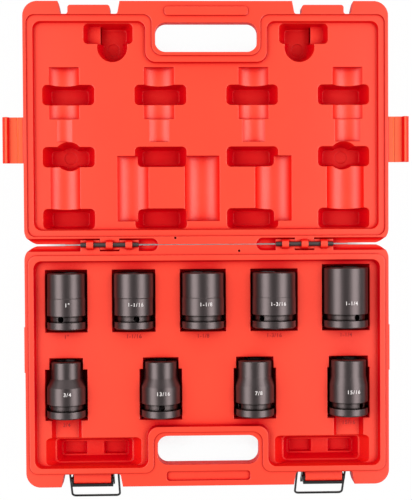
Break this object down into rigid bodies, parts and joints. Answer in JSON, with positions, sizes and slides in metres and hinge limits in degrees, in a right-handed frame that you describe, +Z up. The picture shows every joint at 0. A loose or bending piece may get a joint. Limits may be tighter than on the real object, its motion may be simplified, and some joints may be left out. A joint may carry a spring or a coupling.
{
  "type": "impact socket set in case",
  "caption": "Black steel impact sockets lying in moulded nests of a red blow-moulded carrying case with hinged lid, wire-bail latches, snap flaps and a split carry handle.",
  "frame": {"origin": "middle of the base's flat foot, on the table", "axes": "+X along the hinge line to the right as seen in the picture, +Y from the base towards the opened lid, +Z up out of the open case"},
  "size_m": [0.4448, 0.5555, 0.0633],
  "materials": {
    "red_polyethylene": "satin blow-moulded polyethylene",
    "black_impact_steel": "black phosphate",
    "black_latch_steel": "black coated",
    "bare_steel_pin": "plain drawn rod"
  },
  "bodies": {
    "base": {"case_base": "red_polyethylene", "hinge_pin_left": "bare_steel_pin", "hinge_pin_right": "bare_steel_pin", "latch_pin_left": "black_latch_steel", "latch_pin_right": "black_latch_steel"},
    "lid": {"case_lid": "red_polyethylene"},
    "lever_left": {"latch_lever_left": "black_latch_steel"},
    "bail_left": {"latch_bail_left": "black_latch_steel"},
    "flap_left": {"side_flap_left": "red_polyethylene"},
    "lever_right": {"latch_lever_right": "black_latch_steel"},
    "bail_right": {"latch_bail_right": "black_latch_steel"},
    "flap_right": {"side_flap_right": "red_polyethylene"},
    "socket_1_inch": {"socket_1_inch": "black_impact_steel"},
    "socket_1_1_16_inch": {"socket_1_1_16_inch": "black_impact_steel"},
    "socket_1_1_8_inch": {"socket_1_1_8_inch": "black_impact_steel"},
    "socket_1_3_16_inch": {"socket_1_3_16_inch": "black_impact_steel"},
    "socket_1_1_4_inch": {"socket_1_1_4_inch": "black_impact_steel"},
    "socket_3_4_inch": {"socket_3_4_inch": "black_impact_steel"},
    "socket_13_16_inch": {"socket_13_16_inch": "black_impact_steel"},
    "socket_7_8_inch": {"socket_7_8_inch": "black_impact_steel"},
    "socket_15_16_inch": {"socket_15_16_inch": "black_impact_steel"}
  },
  "joints": [
    {"name": "lid_hinge", "type": "hinge", "parent": "base", "child": "lid", "pos_m": [0, 0.1332, 0.048], "axis": [-1, 0, 0], "range_deg": [-180, 0]},
    {"name": "latch_lever_left_swing", "type": "hinge", "parent": "base", "child": "lever_left", "pos_m": [-0.128, -0.1266, 0.04], "axis": [-1, 0, 0], "range_deg": [0, 95]},
    {"name": "latch_bail_left_swing", "type": "hinge", "parent": "lever_left", "child": "bail_left", "pos_m": [-0.128, -0.1223, 0.025], "axis": [1, 0, 0], "range_deg": [-122.8, 0]},
    {"name": "side_flap_left_fold", "type": "hinge", "parent": "lid", "child": "flap_left", "pos_m": [-0.2058, 0.2478, 0.0458], "axis": [0, -1, 0], "range_deg": [-90, 0]},
    {"name": "latch_lever_right_swing", "type": "hinge", "parent": "base", "child": "lever_right", "pos_m": [0.128, -0.1266, 0.04], "axis": [-1, 0, 0], "range_deg": [0, 95]},
    {"name": "latch_bail_right_swing", "type": "hinge", "parent": "lever_right", "child": "bail_right", "pos_m": [0.128, -0.1223, 0.025], "axis": [1, 0, 0], "range_deg": [-122.8, 0]},
    {"name": "side_flap_right_fold", "type": "hinge", "parent": "lid", "child": "flap_right", "pos_m": [0.2058, 0.2478, 0.0458], "axis": [0, 1, 0], "range_deg": [-90, 0]},
    {"name": "socket_1_inch_lift", "type": "slide", "parent": "base", "child": "socket_1_inch", "axis": [0, 0, 1], "range_m": [0, 0.08]},
    {"name": "socket_1_1_16_inch_lift", "type": "slide", "parent": "base", "child": "socket_1_1_16_inch", "axis": [0, 0, 1], "range_m": [0, 0.08]},
    {"name": "socket_1_1_8_inch_lift", "type": "slide", "parent": "base", "child": "socket_1_1_8_inch", "axis": [0, 0, 1], "range_m": [0, 0.08]},
    {"name": "socket_1_3_16_inch_lift", "type": "slide", "parent": "base", "child": "socket_1_3_16_inch", "axis": [0, 0, 1], "range_m": [0, 0.08]},
    {"name": "socket_1_1_4_inch_lift", "type": "slide", "parent": "base", "child": "socket_1_1_4_inch", "axis": [0, 0, 1], "range_m": [0, 0.08]},
    {"name": "socket_3_4_inch_lift", "type": "slide", "parent": "base", "child": "socket_3_4_inch", "axis": [0, 0, 1], "range_m": [0, 0.08]},
    {"name": "socket_13_16_inch_lift", "type": "slide", "parent": "base", "child": "socket_13_16_inch", "axis": [0, 0, 1], "range_m": [0, 0.08]},
    {"name": "socket_7_8_inch_lift", "type": "slide", "parent": "base", "child": "socket_7_8_inch", "axis": [0, 0, 1], "range_m": [0, 0.08]},
    {"name": "socket_15_16_inch_lift", "type": "slide", "parent": "base", "child": "socket_15_16_inch", "axis": [0, 0, 1], "range_m": [0, 0.08]}
  ]
}
